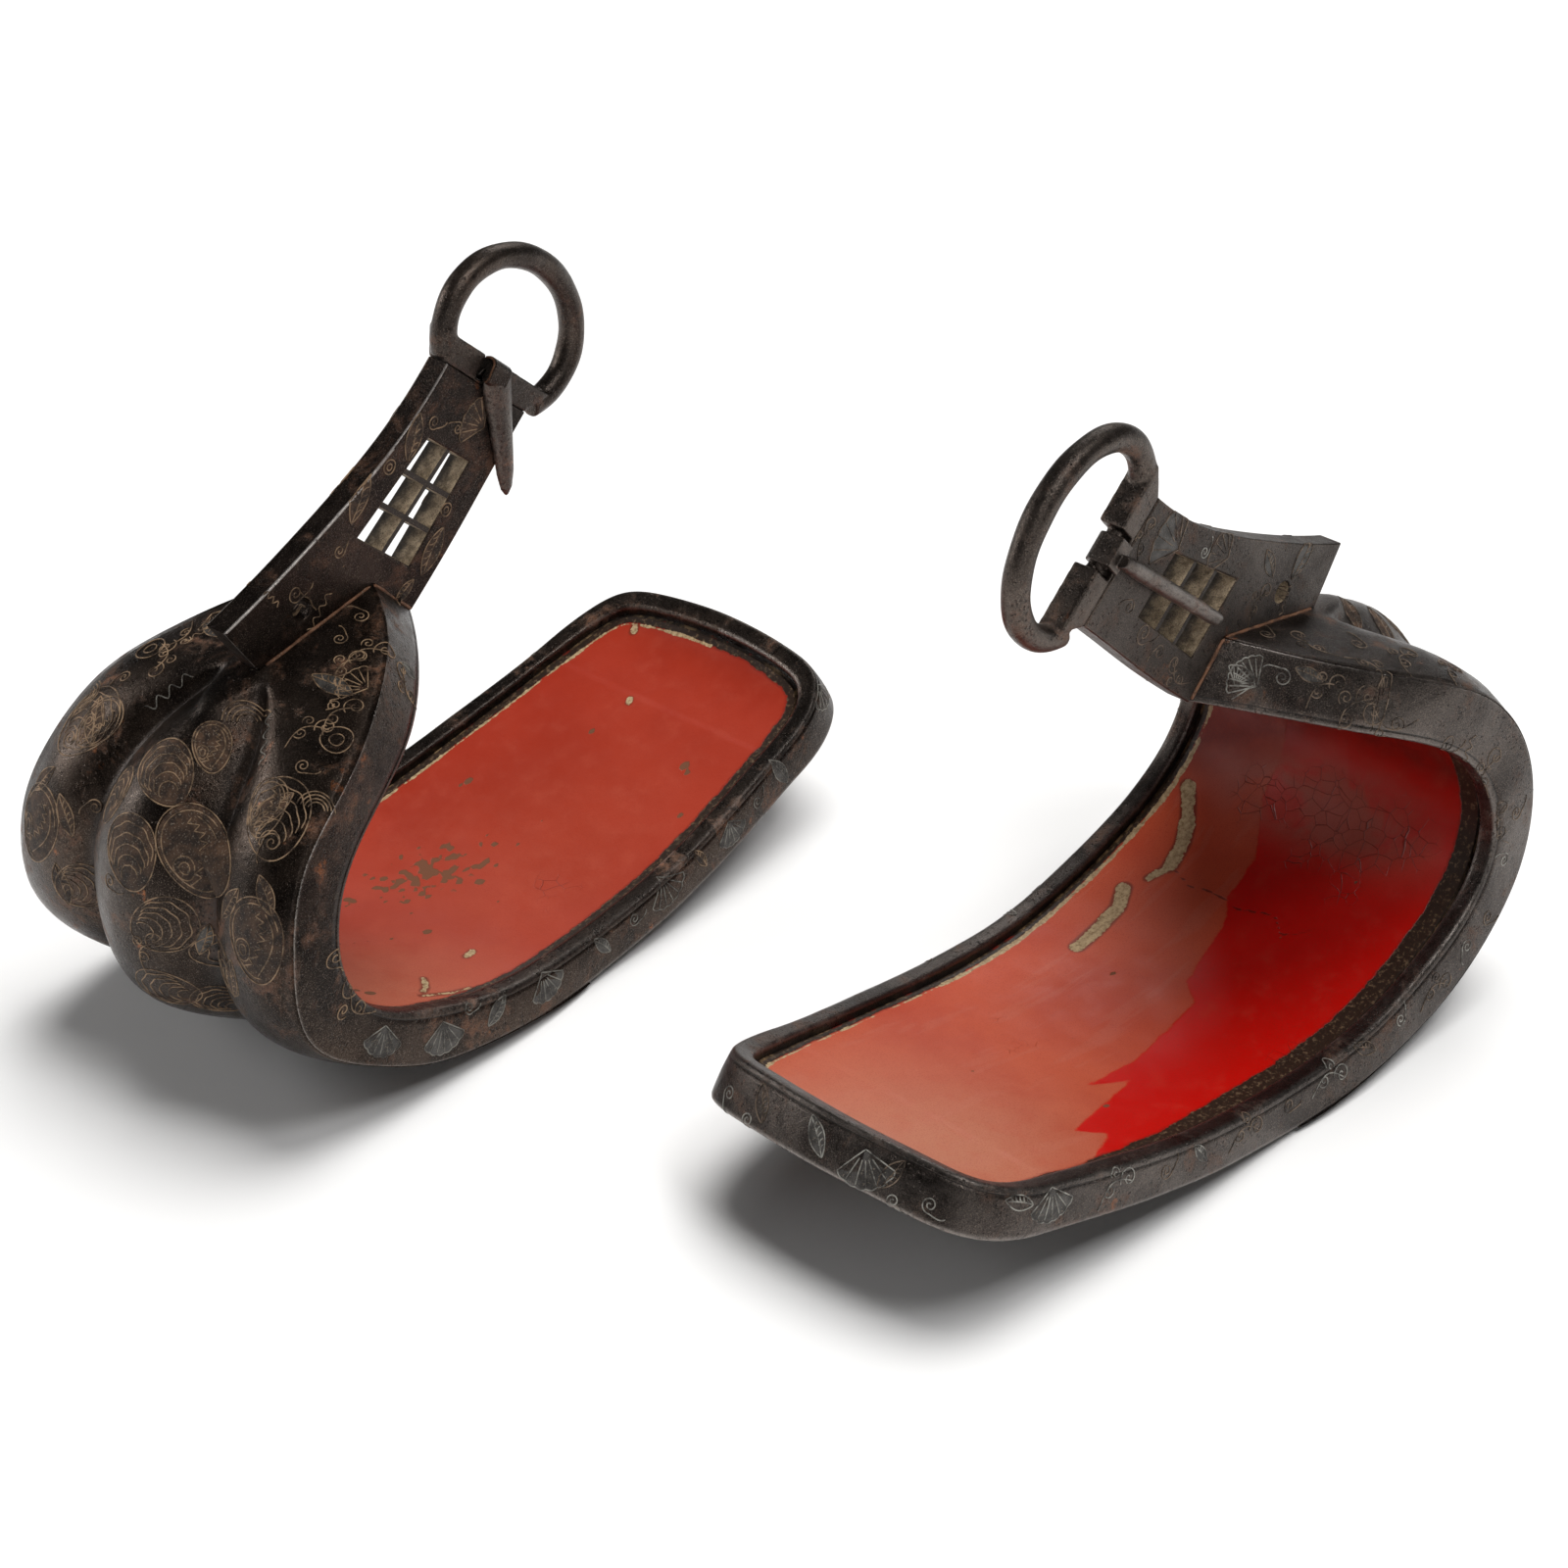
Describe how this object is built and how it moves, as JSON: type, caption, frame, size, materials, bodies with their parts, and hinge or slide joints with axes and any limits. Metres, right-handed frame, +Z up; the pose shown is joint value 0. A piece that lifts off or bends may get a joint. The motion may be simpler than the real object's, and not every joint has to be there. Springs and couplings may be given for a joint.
{
  "type": "pair of iron stirrups",
  "caption": "Pair of deep open-sided iron stirrups with a hook-shaped lobed toe, a lacquered footbed and an upright pierced buckle plate with a strap ring and a loose prong.",
  "frame": {"origin": "on the floor, under the middle of the pair's bounding box", "axes": "+X along the stirrups, to the toe of the right one and the heel of the left one; +Y towards the left stirrup; +Z up"},
  "size_m": [0.3696, 0.3538, 0.2333],
  "materials": {
    "forged_iron": "dark patina",
    "worn_iron": "worn patina",
    "left_lacquered_board": "old red lacquer",
    "right_lacquered_board": "old red lacquer, worn",
    "bedding": "matt"
  },
  "bodies": {
    "stirrups": {"left_breast_plate": "forged_iron", "left_buckle_plate": "forged_iron", "left_footbed": "left_lacquered_board", "left_footbed_bedding": "bedding", "left_heel_rim": "forged_iron", "left_inner_side_band": "forged_iron", "left_outer_side_band": "forged_iron", "left_sole_plate": "forged_iron", "left_strap_ring": "worn_iron", "left_window_bar": "forged_iron", "left_window_crossbars": "forged_iron", "right_breast_plate": "forged_iron", "right_buckle_plate": "forged_iron", "right_footbed": "right_lacquered_board", "right_footbed_bedding": "bedding", "right_heel_rim": "forged_iron", "right_inner_side_band": "forged_iron", "right_outer_side_band": "forged_iron", "right_sole_plate": "forged_iron", "right_strap_ring": "worn_iron", "right_window_bar": "forged_iron", "right_window_crossbars": "forged_iron"},
    "left_prong": {"left_prong": "worn_iron"},
    "right_prong": {"right_prong": "worn_iron"}
  },
  "joints": [
    {"name": "left_prong_swing", "type": "hinge", "parent": "stirrups", "child": "left_prong", "pos_m": [-0.0191, 0.11021, 0.19276], "axis": [-0.7485, -0.0248, 0.6626], "range_deg": [0, 156]},
    {"name": "right_prong_swing", "type": "hinge", "parent": "stirrups", "child": "right_prong", "pos_m": [0.01901, -0.10834, 0.19276], "axis": [-0.749, 0, -0.6626], "range_deg": [0, 158]}
  ]
}
